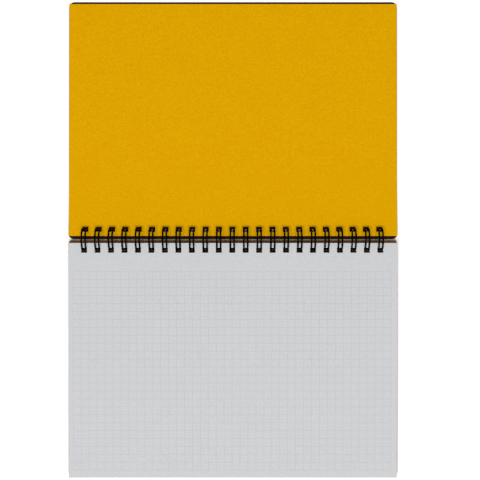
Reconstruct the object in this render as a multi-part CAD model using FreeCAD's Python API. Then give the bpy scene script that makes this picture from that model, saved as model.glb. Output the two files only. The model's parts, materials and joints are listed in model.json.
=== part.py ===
import FreeCAD, Part
import math
import os

from FreeCAD import Vector

# A top-bound notebook lying open on a table. The back board and the page block are on the near
# side (-Y); the front cover and its inner card are turned right over the wire to the far side.
# X runs along the binding, Z is up, the table is Z = 0, and lengths are in millimetres.

# Page block: 50 sheets of 0.1 mm
PAGE_WIDTH = 207.0
PAGE_LENGTH = 148.0
SHEET_THICKNESS = 0.1
SHEET_COUNT = 50

# Punching: three rectangular holes to the inch, as many as leave the end margin, the same in every sheet
HOLE_PITCH = 25.4 / 3
HOLE_WIDTH = 3.8
HOLE_LENGTH = 3.1
EDGE_TO_HOLE = 3.0
PUNCH_OFFSET = -0.42
PUNCH_END_MARGIN = 6.0

# Both covers are one size, larger than the pages, with rounded corners
COVER_SIDE_OVERHANG = 1.0
COVER_END_OVERHANG = 3.0
COVER_CORNER = 3.5
FRONT_THICKNESS = 0.8
BOARD_THICKNESS = 1.2
COVER_EDGE_GAP = 0.05

# Inner card, cut a little shorter than the cover it backs
CARD_SIDE_GAP = 0.2
CARD_SHORTFALL = 3.1
CARD_THICKNESS = 0.4
CARD_EDGE_TO_HOLE = 2.7
CARD_STAND_OFF = 0.55

# Twin-loop wire: each loop is a pair of wires, and a link bar joins it to the next loop
WIRE_DIAMETER = 1.1
WIRE_SIDES = 6
RING_DIAMETER = 14.5
BEND_RADIUS = 1.0
TIP_GAP = 0.2

# Clearances
RUNNING_GAP = 0.1
HOLE_SIDE_GAP = 0.17
SEAM_GAP = 0.12
LAID_GAP = 0.03

# How the front cover and the card come down from the wire to the table
DRAPE_SLOPE = math.radians(4.5)
COVER_STRAIGHT = 13.5
CARD_STRAIGHT = 12.5

# Worked out from the sizes above
PAGE_STACK = SHEET_COUNT * SHEET_THICKNESS
PUNCHED_ROW = PAGE_WIDTH - HOLE_WIDTH - 2 * (PUNCH_END_MARGIN + abs(PUNCH_OFFSET))
HOLE_COUNT = int(PUNCHED_ROW / HOLE_PITCH) + 1
COVER_WIDTH = PAGE_WIDTH + 2 * COVER_SIDE_OVERHANG
COVER_LENGTH = PAGE_LENGTH + COVER_END_OVERHANG
CARD_WIDTH = COVER_WIDTH - 2 * CARD_SIDE_GAP
CARD_LENGTH = COVER_LENGTH - CARD_SHORTFALL
RING_OUTER = RING_DIAMETER / 2
RING_RADIUS = RING_OUTER - WIRE_DIAMETER / 2
RING_INNER = RING_RADIUS - WIRE_DIAMETER / 2
RING_HEIGHT = RING_OUTER
WIRE_REACH = WIRE_DIAMETER / 2 / math.cos(math.pi / WIRE_SIDES)
LOOP_HALF = (HOLE_WIDTH - WIRE_DIAMETER) / 2 - HOLE_SIDE_GAP


def hole_places():
    """X of the middle of each hole, and so of each loop."""
    first = PUNCH_OFFSET - HOLE_PITCH * (HOLE_COUNT - 1) / 2
    return [first + HOLE_PITCH * i for i in range(HOLE_COUNT)]


def inside_wire(height):
    """How far out from the ring's axis the inside of the wire is at this height, less the running gap."""
    return math.sqrt((RING_INNER - RUNNING_GAP) ** 2 - (height - RING_HEIGHT) ** 2)


def outside_wire(height):
    """How far out from the axis the outside of the wire is at this height, with the running gap."""
    return math.sqrt((RING_OUTER + RUNNING_GAP) ** 2 - (height - RING_HEIGHT) ** 2)


def resting_height(thickness):
    """Lowest height of a sheet's underside at which the slanting wire still goes through its holes."""
    low = RING_HEIGHT - RING_INNER + RUNNING_GAP
    high = RING_HEIGHT - thickness
    for _ in range(40):
        middle = (low + high) / 2
        if inside_wire(middle) + HOLE_LENGTH < outside_wire(middle + thickness):
            low = middle
        else:
            high = middle
    return high


def rounded_rectangle(x0, y0, x1, y1, corner):
    """A face in the XY plane. A corner of 0 leaves it square."""
    if corner == 0:
        points = [Vector(x0, y0), Vector(x1, y0), Vector(x1, y1), Vector(x0, y1), Vector(x0, y0)]
        return Part.Face(Part.makePolygon(points))
    centres = [(x1 - corner, y0 + corner), (x1 - corner, y1 - corner),
               (x0 + corner, y1 - corner), (x0 + corner, y0 + corner)]
    arcs = []
    for i, (x, y) in enumerate(centres):
        start = math.radians(90 * i - 90)
        a, b, c = [Vector(x + corner * math.cos(start + turn), y + corner * math.sin(start + turn))
                   for turn in (0, math.pi / 4, math.pi / 2)]
        arcs.append((a, b, c))
    edges = []
    for arc, following in zip(arcs, arcs[1:] + arcs[:1]):
        edges.append(Part.Arc(*arc).toShape())
        edges.append(Part.LineSegment(arc[2], following[0]).toShape())
    return Part.Face(Part.Wire(edges))


def punched_plan(width, length, corner, edge_to_hole):
    """Outline of a sheet seen from above, its row of holes starting at Y = 0 and the sheet running to +Y."""
    plan = rounded_rectangle(-width / 2, -edge_to_hole, width / 2, length - edge_to_hole, corner)
    holes = [rounded_rectangle(x - HOLE_WIDTH / 2, 0, x + HOLE_WIDTH / 2, HOLE_LENGTH, 0)
             for x in hole_places()]
    return plan.cut(holes)


def near_sheet(width, length, corner, thickness, hole_y, height, tilt):
    """A flat sheet or block on the near side. The bottom of its holes' inner wall is at (hole_y, height)."""
    sheet = punched_plan(width, length, corner, EDGE_TO_HOLE).extrude(Vector(0, 0, thickness))
    # mirrored, not turned, so that the off-centre row of holes stays over the loops
    sheet = sheet.mirror(Vector(0, 0, 0), Vector(0, 1, 0))
    sheet.rotate(Vector(0, 0, 0), Vector(1, 0, 0), math.degrees(tilt))
    sheet.translate(Vector(0, hole_y, height))
    return sheet


def draped_sheet(width, length, corner, thickness, edge_to_hole, hole_y, height, straight, table):
    """A bendy sheet on the far side: straight off the wire, then one arc, then flat at the table height."""
    along = Vector(0, math.cos(DRAPE_SLOPE), -math.sin(DRAPE_SLOPE))
    normal = Vector(0, math.sin(DRAPE_SLOPE), math.cos(DRAPE_SLOPE))
    half_normal = Vector(0, math.sin(DRAPE_SLOPE / 2), math.cos(DRAPE_SLOPE / 2))
    up = Vector(0, 0, 1)
    edge = Vector(0, hole_y, height) - along * edge_to_hole
    bend_start = edge + along * straight
    radius = (bend_start.z - table) / (1 - math.cos(DRAPE_SLOPE))
    centre = bend_start + normal * radius
    flat = length - straight - radius * DRAPE_SLOPE

    def underside(lift):
        """Edges of the line this far above the underside, from the binding edge outwards."""
        r = radius - lift
        bend_end = centre - up * r
        first = edge + normal * lift
        bend = Part.Arc(centre - normal * r, centre - half_normal * r, bend_end)
        return [Part.LineSegment(first, centre - normal * r).toShape(), bend.toShape(),
                Part.LineSegment(bend_end, bend_end + Vector(0, flat, 0)).toShape()]

    lower, upper = underside(0), underside(thickness)
    ends = [Part.LineSegment(lower[i].Vertexes[i].Point, upper[i].Vertexes[i].Point).toShape()
            for i in (0, -1)]
    profile = Part.Face(Part.Wire(Part.sortEdges(lower + upper + ends)[0]))
    profile.translate(Vector(-width / 2, 0, 0))
    slab = profile.extrude(Vector(width, 0, 0))
    seen_length = slab.BoundBox.YLength
    plan = punched_plan(width, seen_length, corner, edge_to_hole * math.cos(DRAPE_SLOPE))
    plan.translate(Vector(0, slab.BoundBox.YMin + edge_to_hole * math.cos(DRAPE_SLOPE), 0))
    return slab.common(plan.extrude(up * slab.BoundBox.ZMax))


def on_ring(x, angle, past=0.0):
    """A point on the ring's centre line, moved this far past it along the tangent."""
    c, s = math.cos(angle), math.sin(angle)
    return Vector(x, RING_RADIUS * c - past * s, RING_HEIGHT + RING_RADIUS * s + past * c)


def binding_wire(bar_height):
    """One length of wire: a bend up to each loop, round the ring, back from its tip, then a link bar."""
    # the bars lie between the board and the last page, on the near side below the ring's axis
    slant = math.atan2(BEND_RADIUS, RING_RADIUS)
    across = math.hypot(BEND_RADIUS, RING_RADIUS)
    root = math.pi - math.asin((bar_height - RING_HEIGHT) / across) + slant
    # the tip of each loop nests against the bends beside it
    spread = LOOP_HALF + BEND_RADIUS
    nested = math.sqrt((spread + 2 * WIRE_REACH + TIP_GAP) ** 2 - spread ** 2) - BEND_RADIUS
    tip = root + 2 * math.pi - (BEND_RADIUS + nested) / RING_RADIUS
    middle = (root + tip) / 2
    corner = BEND_RADIUS * math.cos(math.pi / 4)
    places = hole_places()
    edges = []
    for i, x in enumerate(places):
        left, right = x - LOOP_HALF, x + LOOP_HALF
        bar_end, next_bar = left - BEND_RADIUS, right + BEND_RADIUS
        edges += [
            Part.Arc(on_ring(bar_end, root, -BEND_RADIUS), on_ring(bar_end + corner, root, -corner),
                     on_ring(left, root)),
            Part.Arc(on_ring(left, root), on_ring(left, middle), on_ring(left, tip)),
            Part.Arc(on_ring(left, tip), on_ring(x, tip, LOOP_HALF), on_ring(right, tip)),
            Part.Arc(on_ring(right, tip), on_ring(right, middle), on_ring(right, root)),
            Part.Arc(on_ring(right, root), on_ring(next_bar - corner, root, -corner),
                     on_ring(next_bar, root, -BEND_RADIUS)),
        ]
        if i + 1 < len(places):
            far_end = next_bar + HOLE_PITCH - 2 * spread
            edges.append(Part.LineSegment(on_ring(next_bar, root, -BEND_RADIUS),
                                          on_ring(far_end, root, -BEND_RADIUS)))
    path = Part.Wire([edge.toShape() for edge in edges])
    start = on_ring(places[0] - spread, root, -BEND_RADIUS)
    corners = []
    for i in range(WIRE_SIDES + 1):
        turn = root + math.pi / 2 + 2 * math.pi * i / WIRE_SIDES
        corners.append(start + Vector(0, math.cos(turn), math.sin(turn)) * WIRE_REACH)
    return path.makePipeShell([Part.makePolygon(corners)], True, False)


def notebook():
    """Every piece in its place round the ring, from the table up."""
    board_height = resting_height(BOARD_THICKNESS)
    board_hole = -inside_wire(board_height)
    board_tilt = math.asin(board_height / (COVER_LENGTH - EDGE_TO_HOLE))
    board = near_sheet(COVER_WIDTH, COVER_LENGTH, COVER_CORNER, BOARD_THICKNESS,
                       board_hole, board_height, board_tilt)

    # the front cover's edge comes up against the board's, and the cover lies on the wire
    front_edge = board_hole + EDGE_TO_HOLE + COVER_EDGE_GAP
    front_hole = front_edge + EDGE_TO_HOLE
    front_height = RING_HEIGHT - math.sqrt((RING_INNER - RUNNING_GAP) ** 2 - front_hole ** 2)
    front = draped_sheet(COVER_WIDTH, COVER_LENGTH, COVER_CORNER, FRONT_THICKNESS, EDGE_TO_HOLE,
                         front_hole, front_height, COVER_STRAIGHT, 0.0)

    card_height = front_height + FRONT_THICKNESS + CARD_STAND_OFF
    card = draped_sheet(CARD_WIDTH, CARD_LENGTH, 0.0, CARD_THICKNESS, CARD_EDGE_TO_HOLE,
                        inside_wire(card_height), card_height, CARD_STRAIGHT,
                        FRONT_THICKNESS + LAID_GAP)

    # the link bars lie on the board, and the page block lies on them and on the board's far end
    bar_height = board_height + BOARD_THICKNESS + SEAM_GAP + WIRE_REACH
    page_height = bar_height + WIRE_REACH + SEAM_GAP
    page_reach = PAGE_LENGTH - EDGE_TO_HOLE
    page_tilt = board_tilt + math.asin((page_height - board_height - BOARD_THICKNESS) / page_reach)
    page_top = page_height + PAGE_STACK
    page_hole = -min(inside_wire(page_height), inside_wire(page_top)) + PAGE_STACK * math.sin(page_tilt)
    pages = near_sheet(PAGE_WIDTH, PAGE_LENGTH, 0.0, PAGE_STACK, page_hole, page_height, page_tilt)

    return {
        "back_cover": board,
        "page_block": pages,
        "binding_wire": binding_wire(bar_height),
        "front_cover": front,
        "inner_card": card,
    }


def main():
    pieces = notebook()
    # the origin is under the middle of the open notebook
    near = min(piece.BoundBox.YMin for piece in pieces.values())
    far = max(piece.BoundBox.YMax for piece in pieces.values())
    to_middle = Vector(0, -(near + far) / 2, 0)
    os.makedirs("parts", exist_ok=True)
    for name, piece in pieces.items():
        piece.translate(to_middle)
        piece.exportStep(f"parts/{name}.step")
        box = piece.BoundBox
        print(f"{name}: {len(piece.Solids)} solid, valid {piece.isValid()}, {piece.Volume:.0f} mm3, "
              f"Y {box.YMin:.2f} to {box.YMax:.2f}, Z {box.ZMin:.3f} to {box.ZMax:.3f}")
    print(f"ring axis at Y {to_middle.y:.4f}, Z {RING_HEIGHT:.4f}")


main()
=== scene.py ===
"""Looks of the open grid notebook: loose sheets with printed squares, smooth twin-loop wire, and
the finishes of the covers, board and card. All lengths are in metres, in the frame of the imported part."""

import json
import math

import bpy
from mathutils import Matrix, Vector


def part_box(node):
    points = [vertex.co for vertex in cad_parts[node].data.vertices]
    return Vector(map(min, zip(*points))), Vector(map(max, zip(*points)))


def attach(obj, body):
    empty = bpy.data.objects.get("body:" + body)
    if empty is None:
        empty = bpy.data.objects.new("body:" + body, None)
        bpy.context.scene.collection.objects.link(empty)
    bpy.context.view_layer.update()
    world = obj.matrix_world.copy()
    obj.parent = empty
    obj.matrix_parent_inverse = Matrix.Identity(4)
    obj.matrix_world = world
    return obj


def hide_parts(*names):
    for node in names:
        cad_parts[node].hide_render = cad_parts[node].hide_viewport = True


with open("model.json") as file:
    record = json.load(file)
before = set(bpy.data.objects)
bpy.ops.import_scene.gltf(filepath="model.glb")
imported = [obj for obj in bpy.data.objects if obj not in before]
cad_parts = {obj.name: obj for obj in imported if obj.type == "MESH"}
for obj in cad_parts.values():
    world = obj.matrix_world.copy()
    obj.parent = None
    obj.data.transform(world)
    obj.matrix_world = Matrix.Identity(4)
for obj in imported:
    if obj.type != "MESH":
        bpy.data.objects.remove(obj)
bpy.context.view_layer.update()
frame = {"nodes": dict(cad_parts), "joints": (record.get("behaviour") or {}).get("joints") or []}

MM = 0.001

# Sheets, as they are cut and punched
SHEET_COUNT = 50
SHEET_PITCH = 0.1 * MM
SHEET_THICKNESS = 0.088 * MM
SHEET_WIDTH = 207.0 * MM
SHEET_LENGTH = 148.0 * MM
SHEET_UNEVENNESS = 0.04 * MM
SHEET_TURN = math.radians(0.015)
PAGE_STACK = SHEET_COUNT * SHEET_PITCH
HOLE_COUNT = 23
HOLE_PITCH = 25.4 / 3 * MM
FIRST_HOLE = -0.42 * MM - HOLE_PITCH * (HOLE_COUNT - 1) / 2
HOLE_WIDTH = 3.8 * MM
HOLE_LENGTH = 3.1 * MM
EDGE_TO_HOLE = 3.0 * MM

# Printed squares
SQUARE_WIDTH = 5.0 * MM
SQUARE_LENGTH = 5.012 * MM
SQUARES_ACROSS = 40
SQUARES_DOWN = 25
PRINT_LEFT = 3.0 * MM
PRINT_TOP = 18.05 * MM
LINE_WIDTH = 0.17 * MM
INK_HEIGHT = 0.006 * MM

# Twin-loop wire, on the centre line of the CAD wire
WIRE_RADIUS = 0.55 * MM
WIRE_SIDES = 12
RING_RADIUS = 6.7 * MM
LOOP_HALF = 1.18 * MM
BEND_RADIUS = 1.0 * MM
LOOP_ROOT = math.radians(217.350)
LOOP_TIP = math.radians(552.314)
RING_STEPS = 60
BEND_STEPS = 5
TIP_STEPS = 9
DOUBLES_WITHIN = 1e-6

# Floor: it glows where it is seen, more so far from the lamp, and not under the rings
FLOOR_HALF = 3.0
FLOOR_HEIGHT = -0.1 * MM
FLOOR_GREY = 0.93
GLOW_NEAR = 0.16
GLOW_FAR = 0.95
GLOW_RISES_FROM = 0.28
GLOW_RISES_TO = 0.9
RINGS_HALF_WIDTH = 98.5 * MM
RINGS_HALF_DEPTH = 9.0 * MM

# Light and camera
SKY_LIGHT = 0.24
LAMP_WIDTH = 1.05
LAMP_DEPTH = 0.4
LAMP_WATTS = 41.9
LAMP_PLACE = Vector((-0.075, -0.675, 2.175))
CAMERA_PLACE = Vector((0.00445, -0.00464, 0.687))
CAMERA_TILT = 0.006
CAMERA_LENS = 80.83
CAMERA_SENSOR = 36.0
CAMERA_NEAREST = 0.01


# ---------------------------------------------------------------- nodes

def add(tree, kind, inputs=(), **settings):
    """Adds a node, sets its properties, and sets or links its sockets."""
    node = tree.nodes.new(kind)
    for name, value in settings.items():
        setattr(node, name, value)
    for name, value in dict(inputs).items():
        if isinstance(value, bpy.types.NodeSocket):
            tree.links.new(value, node.inputs[name])
        else:
            node.inputs[name].default_value = value
    return node


def calc(tree, operation, *terms):
    """One Math node. Each term is a number or a socket."""
    return add(tree, "ShaderNodeMath", dict(enumerate(terms)), operation=operation).outputs[0]


# ---------------------------------------------------------------- finishes

def new_material(name):
    """An empty material with a Principled shader, and the tree, the shader and the piece's coordinates."""
    material = bpy.data.materials.new(name)
    material.use_nodes = True
    tree = material.node_tree
    tree.nodes.clear()
    shader = add(tree, "ShaderNodeBsdfPrincipled")
    add(tree, "ShaderNodeOutputMaterial", {"Surface": shader.outputs["BSDF"]})
    place = add(tree, "ShaderNodeTexCoord").outputs["Object"]
    return material, tree, shader, place


def noise(tree, place, per_metre, detail=3.0, stretch=(1, 1, 1), roughness=0.55):
    """Noise with this many features to the metre, drawn out along an axis by a stretch below 1."""
    mapped = add(tree, "ShaderNodeMapping", {"Vector": place, "Scale": stretch})
    found = add(tree, "ShaderNodeTexNoise",
                {"Vector": mapped.outputs[0], "Scale": per_metre, "Detail": detail, "Roughness": roughness})
    return found.outputs["Fac"]


def spread(tree, value, low, high, new_low, new_high):
    """Maps low..high to new_low..new_high, clamped."""
    return add(tree, "ShaderNodeMapRange",
               {"Value": value, "From Min": low, "From Max": high, "To Min": new_low, "To Max": new_high}
               ).outputs["Result"]


def colour_mix(tree, amount, first, second):
    """The first colour where the amount is 0 and the second where it is 1. Each may be a socket."""
    node = tree.nodes.new("ShaderNodeMix")
    node.data_type = "RGBA"
    sockets = [s for s in node.inputs if s.enabled]
    for socket, value in zip(sockets, (amount, first, second)):
        if isinstance(value, bpy.types.NodeSocket):
            tree.links.new(value, socket)
        else:
            socket.default_value = value
    return [s for s in node.outputs if s.enabled][0]


def bump(tree, height, strength, depth):
    """A normal for small relief of this depth."""
    return add(tree, "ShaderNodeBump", {"Height": height, "Strength": strength, "Distance": depth}).outputs[0]


def shares(tree, *parts):
    """The sum of noises, each given with its share of the whole and brought from 0.3..0.7 to 0..share."""
    total = spread(tree, parts[0][0], 0.3, 0.7, 0.0, parts[0][1])
    for value, share in parts[1:]:
        total = calc(tree, "ADD", total, spread(tree, value, 0.3, 0.7, 0.0, share))
    return total


def paper_finish():
    """Uncoated writing paper: nearly even, with a fine tooth."""
    material, tree, shader, place = new_material("writing_paper")
    clouds = noise(tree, place, 55, 4)
    tooth = noise(tree, place, 1300, 3)
    shade = shares(tree, (clouds, 0.12), (tooth, 0.88))
    colour = colour_mix(tree, shade, (0.571, 0.577, 0.592, 1), (0.659, 0.666, 0.683, 1))
    tree.links.new(colour, shader.inputs["Base Color"])
    tree.links.new(spread(tree, tooth, 0.2, 0.8, 0.82, 0.94), shader.inputs["Roughness"])
    tree.links.new(bump(tree, tooth, 0.25, 0.012 * MM), shader.inputs["Normal"])
    shader.inputs["Specular IOR Level"].default_value = 0.05
    return material


def ink_finish():
    """Pale grey printing ink, a little uneven along its lines."""
    material, tree, shader, place = new_material("pale_grey_ink")
    patchy = noise(tree, place, 900, 3)
    colour = colour_mix(tree, spread(tree, patchy, 0.35, 0.65, 0, 1),
                        (0.470, 0.478, 0.500, 1), (0.520, 0.528, 0.548, 1))
    tree.links.new(colour, shader.inputs["Base Color"])
    shader.inputs["Roughness"].default_value = 0.85
    shader.inputs["Specular IOR Level"].default_value = 0.05
    return material


def card_finish():
    """Yellow card dyed right through, with a fine speckle and a few fibres lying along the sheet."""
    material, tree, shader, place = new_material("yellow_card")
    speckle = noise(tree, place, 1200, 3)
    fibres = noise(tree, place, 1100, 4, (0.18, 1, 1))
    clouds = noise(tree, place, 40, 3)
    shade = shares(tree, (speckle, 0.82), (fibres, 0.10), (clouds, 0.08))
    colour = colour_mix(tree, shade, (0.690, 0.320, 0.0002, 1), (0.815, 0.438, 0.0003, 1))
    tree.links.new(colour, shader.inputs["Base Color"])
    tree.links.new(spread(tree, speckle, 0.2, 0.8, 0.72, 0.9), shader.inputs["Roughness"])
    height = calc(tree, "ADD", speckle, fibres)
    tree.links.new(bump(tree, height, 0.35, 0.02 * MM), shader.inputs["Normal"])
    shader.inputs["Specular IOR Level"].default_value = 0.015
    return material


def board_finish():
    """Brown recycled board: long fibres, pale and dark flecks, and a rough face."""
    material, tree, shader, place = new_material("brown_board")
    fibres = noise(tree, place, 900, 5, (0.2, 1, 1), 0.65)
    clouds = noise(tree, place, 120, 3)
    shade = shares(tree, (fibres, 0.65), (clouds, 0.35))
    colour = colour_mix(tree, shade, (0.264, 0.151, 0.081, 1), (0.532, 0.331, 0.197, 1))
    dark_flecks = spread(tree, noise(tree, place, 1400, 1, (0.35, 1, 1)), 0.66, 0.72, 0, 0.7)
    colour = colour_mix(tree, dark_flecks, colour, (0.045, 0.028, 0.020, 1))
    pale_flecks = spread(tree, noise(tree, place, 1150, 1, (1, 0.4, 1)), 0.68, 0.74, 0, 0.6)
    colour = colour_mix(tree, pale_flecks, colour, (0.52, 0.377, 0.286, 1))
    tree.links.new(colour, shader.inputs["Base Color"])
    tree.links.new(spread(tree, fibres, 0.2, 0.8, 0.8, 0.96), shader.inputs["Roughness"])
    tree.links.new(bump(tree, fibres, 0.5, 0.04 * MM), shader.inputs["Normal"])
    shader.inputs["Specular IOR Level"].default_value = 0.05
    return material


def cover_finish():
    """Black cover with a fine pebble grain and faint rubbed patches."""
    material, tree, shader, place = new_material("black_cover")
    pebbles = add(tree, "ShaderNodeTexVoronoi", {"Vector": place, "Scale": 1500.0}, feature="SMOOTH_F1")
    grain = spread(tree, pebbles.outputs["Distance"], 0.0, 0.7, 1.0, 0.0)
    rubbed = noise(tree, place, 30, 4)
    colour = colour_mix(tree, spread(tree, rubbed, 0.35, 0.7, 0, 1),
                        (0.0021, 0.0021, 0.0023, 1), (0.0026, 0.0026, 0.0028, 1))
    tree.links.new(colour, shader.inputs["Base Color"])
    tree.links.new(spread(tree, rubbed, 0.3, 0.7, 0.51, 0.48), shader.inputs["Roughness"])
    tree.links.new(bump(tree, grain, 0.5, 0.03 * MM), shader.inputs["Normal"])
    shader.inputs["Specular IOR Level"].default_value = 0.06
    return material


def wire_finish():
    """Black coated steel wire: even satin, the coating slightly orange-peeled."""
    material, tree, shader, place = new_material("black_coated_wire")
    peel = noise(tree, place, 2200, 2)
    tree.links.new(spread(tree, peel, 0.3, 0.7, 0.50, 0.62), shader.inputs["Roughness"])
    tree.links.new(bump(tree, peel, 0.2, 0.01 * MM), shader.inputs["Normal"])
    shader.inputs["Base Color"].default_value = (0.0012, 0.0012, 0.0013, 1)
    shader.inputs["Specular IOR Level"].default_value = 0.02
    return material


# ---------------------------------------------------------------- modelling trees

def modelling_tree(name, sizes):
    """A Geometry Nodes tree with these named inputs. Returns the tree, its inputs by name, and a call that
    ends it."""
    tree = bpy.data.node_groups.new(name, "GeometryNodeTree")
    tree.interface.new_socket("Geometry", in_out="INPUT", socket_type="NodeSocketGeometry")
    tree.interface.new_socket("Geometry", in_out="OUTPUT", socket_type="NodeSocketGeometry")
    for label, kind in sizes.items():
        tree.interface.new_socket(label, in_out="INPUT", socket_type="NodeSocket" + kind)
    inputs = tree.nodes.new("NodeGroupInput").outputs

    def end_with(geometry, material):
        real = add(tree, "GeometryNodeRealizeInstances", {0: geometry})
        painted = add(tree, "GeometryNodeSetMaterial", {"Geometry": real.outputs[0], "Material": material})
        add(tree, "NodeGroupOutput", {0: painted.outputs[0]})

    return tree, inputs, end_with


def settled(name, start, tree, sizes, place):
    """The plain mesh object that the tree makes from the start mesh, moved to its place."""
    piece = bpy.data.objects.new(name, start)
    bpy.context.scene.collection.objects.link(piece)
    modifier = piece.modifiers.new(tree.name, "NODES")
    modifier.node_group = tree
    for item in tree.interface.items_tree:
        if item.in_out == "INPUT" and item.name in sizes:
            modifier[item.identifier] = sizes[item.name]
    evaluated = piece.evaluated_get(bpy.context.evaluated_depsgraph_get())
    mesh = bpy.data.meshes.new_from_object(evaluated)
    piece.modifiers.clear()
    piece.data = mesh
    mesh.name = name
    mesh.transform(place)
    return piece


def unit_grid(tree, columns, rows):
    """A grid of unit cells, and the column and row of each point of it, counted from 0."""
    across, down = calc(tree, "SUBTRACT", columns, 1), calc(tree, "SUBTRACT", rows, 1)
    grid = add(tree, "GeometryNodeMeshGrid",
               {"Size X": across, "Size Y": down, "Vertices X": columns, "Vertices Y": rows}).outputs["Mesh"]
    place = add(tree, "ShaderNodeSeparateXYZ", {0: add(tree, "GeometryNodeInputPosition").outputs[0]})
    column = calc(tree, "MULTIPLY_ADD", across, 0.5, place.outputs["X"])
    row = calc(tree, "MULTIPLY_ADD", down, 0.5, place.outputs["Y"])
    return grid, column, row


def odd_cell(tree, place):
    """1 in every second cell from the second one on, for a place given at the middle of a face."""
    return calc(tree, "MODULO", calc(tree, "FLOOR", place), 2.0)


def without_cells(tree, grid, column_test, row_test):
    """The grid without the faces for which both tests are 1."""
    both = calc(tree, "MULTIPLY", column_test, row_test)
    picked = add(tree, "FunctionNodeCompare", {0: both, 1: 0.5}, data_type="FLOAT", operation="GREATER_THAN")
    return add(tree, "GeometryNodeDeleteGeometry", {"Geometry": grid, "Selection": picked.outputs[0]},
               domain="FACE").outputs[0]


def moved(tree, mesh, x, y):
    """The mesh with each of its points put at this place on Z = 0."""
    place = add(tree, "ShaderNodeCombineXYZ", {"X": x, "Y": y})
    return add(tree, "GeometryNodeSetPosition", {"Geometry": mesh, "Position": place.outputs[0]}).outputs[0]


def thickened(tree, mesh, thickness):
    """A flat sheet made a closed solid that stands on it."""
    top = add(tree, "GeometryNodeExtrudeMesh",
              {"Mesh": mesh, "Offset Scale": thickness, "Individual": False}, mode="FACES").outputs["Mesh"]
    bottom = add(tree, "GeometryNodeFlipFaces", {"Mesh": mesh}).outputs[0]
    both = add(tree, "GeometryNodeJoinGeometry")
    for part in (bottom, top):
        tree.links.new(part, both.inputs[0])
    return merged(tree, both.outputs[0])


def merged(tree, mesh):
    """The mesh with its doubled points made one."""
    return add(tree, "GeometryNodeMergeByDistance", {"Geometry": mesh, "Distance": DOUBLES_WITHIN}).outputs[0]


def random_vector(tree, reach, axes, seed):
    """A vector for each point, from -reach to reach along these axes."""
    least = calc(tree, "MULTIPLY", reach, -1.0)
    low = add(tree, "ShaderNodeCombineXYZ", {axis: least for axis in axes}).outputs[0]
    high = add(tree, "ShaderNodeCombineXYZ", {axis: reach for axis in axes}).outputs[0]
    return add(tree, "FunctionNodeRandomValue", {0: low, 1: high, "Seed": seed},
               data_type="FLOAT_VECTOR").outputs[0]


def sheet_stack_tree():
    """Punched sheets one above another. The binding edge is Y = 0, the sheets run to -Y, and the stack stands
    on Z = 0."""
    tree, size, end_with = modelling_tree("punched_sheets", {
        "Sheets": "Int", "Sheet Pitch": "Float", "Sheet Thickness": "Float", "Width": "Float",
        "Length": "Float", "Holes": "Int", "Hole Pitch": "Float", "First Hole": "Float",
        "Hole Width": "Float", "Hole Length": "Float", "Edge To Hole": "Float",
        "Unevenness": "Float", "Turn": "Float",
        "Seed": "Int", "Paper": "Material"})
    columns = calc(tree, "MULTIPLY_ADD", size["Holes"], 2.0, 2.0)
    grid, column, row = unit_grid(tree, columns, 4)
    middle_row = calc(tree, "COMPARE", calc(tree, "FLOOR", row), 1.0, 0.1)
    punched = without_cells(tree, grid, odd_cell(tree, column), middle_row)

    # across: the sheet's left edge, the two sides of each hole, and the right edge
    column = calc(tree, "ROUND", column)
    side = calc(tree, "SUBTRACT", column, 1.0)
    hole = calc(tree, "FLOOR", calc(tree, "MULTIPLY", side, 0.5))
    half_holes = calc(tree, "SUBTRACT", calc(tree, "MODULO", side, 2.0), 0.5)
    x = calc(tree, "MULTIPLY_ADD", hole, size["Hole Pitch"], size["First Hole"])
    x = calc(tree, "MULTIPLY_ADD", half_holes, size["Hole Width"], x)
    half_width = calc(tree, "MULTIPLY", size["Width"], 0.5)
    is_left = calc(tree, "LESS_THAN", column, 0.5)
    is_right = calc(tree, "GREATER_THAN", column, calc(tree, "SUBTRACT", columns, 1.5))
    inside = calc(tree, "SUBTRACT", 1.0, calc(tree, "ADD", is_left, is_right))
    x = calc(tree, "MULTIPLY", x, inside)
    x = calc(tree, "MULTIPLY_ADD", half_width, calc(tree, "SUBTRACT", is_right, is_left), x)

    # along: the far edge, the far and near ends of the holes, and the binding edge
    from_binding = calc(tree, "SUBTRACT", 3.0, calc(tree, "ROUND", row))
    hole_end = calc(tree, "ADD", size["Edge To Hole"], size["Hole Length"])
    past_hole = calc(tree, "SUBTRACT", size["Length"], hole_end)
    reach = calc(tree, "MULTIPLY", size["Edge To Hole"], spread(tree, from_binding, 0, 1, 0, 1))
    reach = calc(tree, "MULTIPLY_ADD", size["Hole Length"], spread(tree, from_binding, 1, 2, 0, 1), reach)
    reach = calc(tree, "MULTIPLY_ADD", past_hole, spread(tree, from_binding, 2, 3, 0, 1), reach)
    flat_sheet = moved(tree, punched, x, calc(tree, "MULTIPLY", reach, -1.0))
    sheet = thickened(tree, flat_sheet, size["Sheet Thickness"])

    # each sheet lies a hair off the one below it
    step = add(tree, "ShaderNodeCombineXYZ", {"Z": size["Sheet Pitch"]})
    places = add(tree, "GeometryNodeMeshLine",
                 {"Count": size["Sheets"], "Offset": step.outputs[0]}).outputs[0]
    slip = random_vector(tree, size["Unevenness"], "XY", size["Seed"])
    places = add(tree, "GeometryNodeSetPosition", {"Geometry": places, "Offset": slip}).outputs[0]
    turn = random_vector(tree, size["Turn"], "Z", calc(tree, "ADD", size["Seed"], 1))
    stack = add(tree, "GeometryNodeInstanceOnPoints", {"Points": places, "Instance": sheet, "Rotation": turn})
    end_with(stack.outputs[0], size["Paper"])
    return tree


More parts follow.
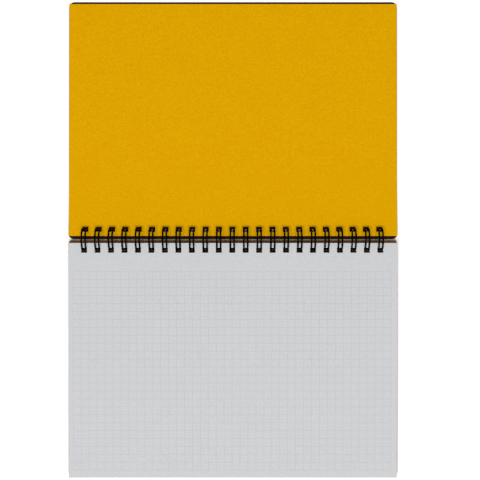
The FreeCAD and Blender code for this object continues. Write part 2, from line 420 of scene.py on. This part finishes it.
def printed_squares_tree():
    """The lines of a squared print as one thin layer, once on the top sheet and once under the last one."""
    tree, size, end_with = modelling_tree("printed_squares", {
        "Squares Across": "Int", "Squares Down": "Int", "Square Width": "Float", "Square Length": "Float",
        "Line Width": "Float", "Left": "Float", "Top": "Float", "Ink Height": "Float", "Upper Face": "Float",
        "Ink": "Material"})
    columns = calc(tree, "MULTIPLY_ADD", size["Squares Across"], 2.0, 2.0)
    rows = calc(tree, "MULTIPLY_ADD", size["Squares Down"], 2.0, 2.0)
    grid, column, row = unit_grid(tree, columns, rows)
    lines = without_cells(tree, grid, odd_cell(tree, column), odd_cell(tree, row))

    def line_side(index, square):
        """Where the line side with this number is: two to each line, a line's width apart."""
        line = calc(tree, "FLOOR", calc(tree, "MULTIPLY", index, 0.5))
        half_lines = calc(tree, "SUBTRACT", calc(tree, "MODULO", index, 2.0), 0.5)
        return calc(tree, "MULTIPLY_ADD", line, square,
                    calc(tree, "MULTIPLY", half_lines, size["Line Width"]))

    from_top = calc(tree, "SUBTRACT", calc(tree, "SUBTRACT", rows, 1.0), calc(tree, "ROUND", row))
    x = calc(tree, "ADD", size["Left"], line_side(calc(tree, "ROUND", column), size["Square Width"]))
    down = calc(tree, "ADD", size["Top"], line_side(from_top, size["Square Length"]))
    layer = thickened(tree, moved(tree, lines, x, calc(tree, "MULTIPLY", down, -1.0)), size["Ink Height"])
    both = add(tree, "GeometryNodeJoinGeometry")
    for height in (size["Upper Face"], calc(tree, "MULTIPLY", size["Ink Height"], -1.0)):
        lift = add(tree, "ShaderNodeCombineXYZ", {"Z": height})
        face = add(tree, "GeometryNodeTransform", {"Geometry": layer, "Translation": lift.outputs[0]})
        tree.links.new(face.outputs[0], both.inputs[0])
    end_with(both.outputs[0], size["Ink"])
    return tree


def binding_wire_tree():
    """The centre line of one loop, repeated along X and swept as one continuous round wire."""
    tree, size, end_with = modelling_tree("twin_loop_wire", {
        "Loops": "Int", "Pitch": "Float", "Last Bar": "Float", "Wire Radius": "Float", "Wire Sides": "Int",
        "Coating": "Material"})
    step = add(tree, "ShaderNodeCombineXYZ", {"X": size["Pitch"]})
    places = add(tree, "GeometryNodeMeshLine", {"Count": size["Loops"], "Offset": step.outputs[0]}).outputs[0]
    loops = add(tree, "GeometryNodeInstanceOnPoints",
                {"Points": places, "Instance": size["Geometry"]}).outputs[0]
    real = add(tree, "GeometryNodeRealizeInstances", {0: loops}).outputs[0]
    line = add(tree, "GeometryNodeMeshToCurve", {"Mesh": merged(tree, real)}).outputs[0]
    length = add(tree, "GeometryNodeCurveLength", {"Curve": line}).outputs[0]
    trimmed = add(tree, "GeometryNodeTrimCurve", {"Curve": line}, mode="LENGTH")
    tree.links.new(calc(tree, "SUBTRACT", length, size["Last Bar"]),
                   [s for s in trimmed.inputs if s.name == "End" and s.enabled][0])
    section = add(tree, "GeometryNodeCurvePrimitiveCircle",
                  {"Resolution": size["Wire Sides"], "Radius": size["Wire Radius"]})
    swept = add(tree, "GeometryNodeCurveToMesh",
                {"Curve": trimmed.outputs[0], "Profile Curve": section.outputs[0], "Fill Caps": True})
    smooth = add(tree, "GeometryNodeSetShadeSmooth", {"Geometry": swept.outputs[0], "Shade Smooth": True})
    end_with(smooth.outputs[0], size["Coating"])
    return tree


# ---------------------------------------------------------------- pieces

def arc(steps, point):
    """Points of an arc, without its first one. The point at a share from 0 to 1 comes from the given call."""
    return [point(i / steps) for i in range(1, steps + 1)]


def loop_centre_line(axis):
    """Centre line of the first loop and the link bar after it, as a mesh of edges."""
    def on_ring(x, angle, past=0.0):
        c, s = math.cos(angle), math.sin(angle)
        return Vector((FIRST_HOLE + x, axis.y + RING_RADIUS * c - past * s,
                       axis.z + RING_RADIUS * s + past * c))

    quarter = math.pi / 2
    spread_out = LOOP_HALF + BEND_RADIUS

    def bend_in(t):
        return on_ring(-spread_out + BEND_RADIUS * math.sin(quarter * t), LOOP_ROOT,
                       -BEND_RADIUS * math.cos(quarter * t))

    points = [bend_in(0)]
    points += arc(BEND_STEPS, bend_in)
    points += arc(RING_STEPS, lambda t: on_ring(-LOOP_HALF, LOOP_ROOT + (LOOP_TIP - LOOP_ROOT) * t))
    points += arc(TIP_STEPS, lambda t: on_ring(-LOOP_HALF * math.cos(math.pi * t), LOOP_TIP,
                                               LOOP_HALF * math.sin(math.pi * t)))
    points += arc(RING_STEPS, lambda t: on_ring(LOOP_HALF, LOOP_TIP + (LOOP_ROOT - LOOP_TIP) * t))
    points += arc(BEND_STEPS, lambda t: on_ring(spread_out - BEND_RADIUS * math.cos(quarter * t), LOOP_ROOT,
                                                -BEND_RADIUS * math.sin(quarter * t)))
    points.append(on_ring(HOLE_PITCH - spread_out, LOOP_ROOT, -BEND_RADIUS))
    mesh = bpy.data.meshes.new("loop_centre_line")
    mesh.from_pydata(points, [(i, i + 1) for i in range(len(points) - 1)], [])
    return mesh


def make_binding_wire(joints):
    """The smooth round wire in place of the six-sided one."""
    axis = Vector(joints[0]["pos_m"])
    wire = settled("smooth_binding_wire", loop_centre_line(axis), binding_wire_tree(), {
        "Loops": HOLE_COUNT, "Pitch": HOLE_PITCH, "Last Bar": HOLE_PITCH - 2 * (LOOP_HALF + BEND_RADIUS),
        "Wire Radius": WIRE_RADIUS, "Wire Sides": WIRE_SIDES, "Coating": wire_finish()}, Matrix.Identity(4))
    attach(wire, "base")
    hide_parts("binding_wire")


def page_place():
    """Where the block of sheets lies: its binding edge's foot, and its slope down to the near side."""
    low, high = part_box("page_block")
    across = math.hypot(SHEET_LENGTH, PAGE_STACK)
    tilt = math.asin((high.z - low.z) / across) - math.atan2(PAGE_STACK, SHEET_LENGTH)
    foot = Vector((0, high.y, low.z + SHEET_LENGTH * math.sin(tilt)))
    return Matrix.Translation(foot) @ Matrix.Rotation(tilt, 4, "X")


def make_pages():
    """The loose punched sheets in place of the solid page block, and the squares printed on them."""
    place = page_place()
    sheets = settled("loose_sheets", bpy.data.meshes.new("sheets_start"), sheet_stack_tree(), {
        "Sheets": SHEET_COUNT, "Sheet Pitch": SHEET_PITCH, "Sheet Thickness": SHEET_THICKNESS,
        "Width": SHEET_WIDTH, "Length": SHEET_LENGTH, "Holes": HOLE_COUNT, "Hole Pitch": HOLE_PITCH,
        "First Hole": FIRST_HOLE, "Hole Width": HOLE_WIDTH, "Hole Length": HOLE_LENGTH,
        "Edge To Hole": EDGE_TO_HOLE, "Unevenness": SHEET_UNEVENNESS, "Turn": SHEET_TURN, "Seed": 7,
        "Paper": paper_finish()}, place)
    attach(sheets, "pages")
    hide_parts("page_block")

    upper_face = SHEET_PITCH * (SHEET_COUNT - 1) + SHEET_THICKNESS
    squares = settled("printed_squares", bpy.data.meshes.new("squares_start"), printed_squares_tree(), {
        "Squares Across": SQUARES_ACROSS, "Squares Down": SQUARES_DOWN,
        "Square Width": SQUARE_WIDTH, "Square Length": SQUARE_LENGTH,
        "Line Width": LINE_WIDTH, "Left": PRINT_LEFT - SHEET_WIDTH / 2, "Top": PRINT_TOP,
        "Ink Height": INK_HEIGHT, "Upper Face": upper_face, "Ink": ink_finish()}, place)
    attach(squares, "pages")


def finish_node(node, material):
    """Gives a CAD piece this finish and leaves its shape alone."""
    slots = frame["nodes"][node].data.materials
    slots.clear()
    slots.append(material)


# ---------------------------------------------------------------- stage

def empty_tree(owner):
    """The node tree of a material or a world, cleared."""
    owner.use_nodes = True
    owner.node_tree.nodes.clear()
    return owner.node_tree


def seen_directly(tree):
    """1 for what the camera, a reflection or glass sees, and 0 for light that falls on the notebook."""
    path = add(tree, "ShaderNodeLightPath").outputs
    mirrored = calc(tree, "MAXIMUM", path["Is Glossy Ray"], path["Is Transmission Ray"])
    return calc(tree, "MAXIMUM", path["Is Camera Ray"], mirrored)


def floor_finish():
    """Matt white, with a glow that keeps it white where it is seen."""
    material = bpy.data.materials.new("pale_floor")
    tree = empty_tree(material)
    matt = add(tree, "ShaderNodeBsdfDiffuse", {"Color": (FLOOR_GREY, FLOOR_GREY, FLOOR_GREY, 1)})
    place = add(tree, "ShaderNodeSeparateXYZ", {0: add(tree, "ShaderNodeTexCoord").outputs["Object"]}).outputs
    aside = calc(tree, "GREATER_THAN", calc(tree, "ABSOLUTE", place["X"]), RINGS_HALF_WIDTH)
    away = calc(tree, "GREATER_THAN", calc(tree, "ABSOLUTE", place["Y"]), RINGS_HALF_DEPTH)
    glowing = calc(tree, "MULTIPLY", seen_directly(tree), calc(tree, "MAXIMUM", aside, away))
    flat = add(tree, "ShaderNodeCombineXYZ", {"X": place["X"], "Y": place["Y"]}).outputs[0]
    distance = add(tree, "ShaderNodeVectorMath", {0: flat}, operation="LENGTH").outputs["Value"]
    rise = spread(tree, distance, GLOW_RISES_FROM, GLOW_RISES_TO, GLOW_NEAR, GLOW_FAR)
    glow = add(tree, "ShaderNodeEmission", {"Strength": calc(tree, "MULTIPLY", glowing, rise)})
    both = add(tree, "ShaderNodeAddShader", {0: matt.outputs[0], 1: glow.outputs[0]})
    add(tree, "ShaderNodeOutputMaterial", {"Surface": both.outputs[0]})
    return material


def make_floor():
    """A wide plain floor just under the notebook."""
    mesh = bpy.data.meshes.new("floor")
    corners = [(x * FLOOR_HALF, y * FLOOR_HALF, FLOOR_HEIGHT)
               for x, y in ((-1, -1), (1, -1), (1, 1), (-1, 1))]
    mesh.from_pydata(corners, [], [(0, 1, 2, 3)])
    mesh.materials.append(floor_finish())
    floor = bpy.data.objects.new("floor", mesh)
    bpy.context.scene.collection.objects.link(floor)


def make_sky():
    """An even sky, white where it is seen and a soft fill light elsewhere."""
    world = bpy.data.worlds.new("even_sky")
    bpy.context.scene.world = world
    tree = empty_tree(world)
    strength = calc(tree, "MULTIPLY_ADD", seen_directly(tree), 1.0 - SKY_LIGHT, SKY_LIGHT)
    sky = add(tree, "ShaderNodeBackground", {"Color": (1, 1, 1, 1), "Strength": strength})
    add(tree, "ShaderNodeOutputWorld", {"Surface": sky.outputs[0]})


def make_lamp():
    """A long soft box overhead, lying along the binding and a little towards the near side."""
    light = bpy.data.lights.new("soft_box", "AREA")
    light.shape = "RECTANGLE"
    light.size, light.size_y = LAMP_WIDTH, LAMP_DEPTH
    light.energy = LAMP_WATTS
    lamp = bpy.data.objects.new("soft_box", light)
    lamp.location = LAMP_PLACE
    lamp.rotation_euler = (-LAMP_PLACE).to_track_quat("-Z", "Y").to_euler()
    bpy.context.scene.collection.objects.link(lamp)


def make_camera():
    """A camera looking straight down on the open notebook."""
    lens = bpy.data.cameras.new("camera")
    lens.sensor_width = CAMERA_SENSOR
    lens.lens = CAMERA_LENS
    lens.clip_start = CAMERA_NEAREST
    camera = bpy.data.objects.new("camera", lens)
    camera.location = CAMERA_PLACE
    camera.rotation_euler = (CAMERA_TILT, 0, 0)
    bpy.context.scene.collection.objects.link(camera)
    bpy.context.scene.camera = camera
    bpy.context.scene.view_settings.view_transform = "Standard"


make_floor()
make_sky()
make_lamp()
make_camera()
make_pages()
make_binding_wire(frame["joints"])
finish_node("front_cover", cover_finish())
finish_node("back_cover", board_finish())
finish_node("inner_card", card_finish())
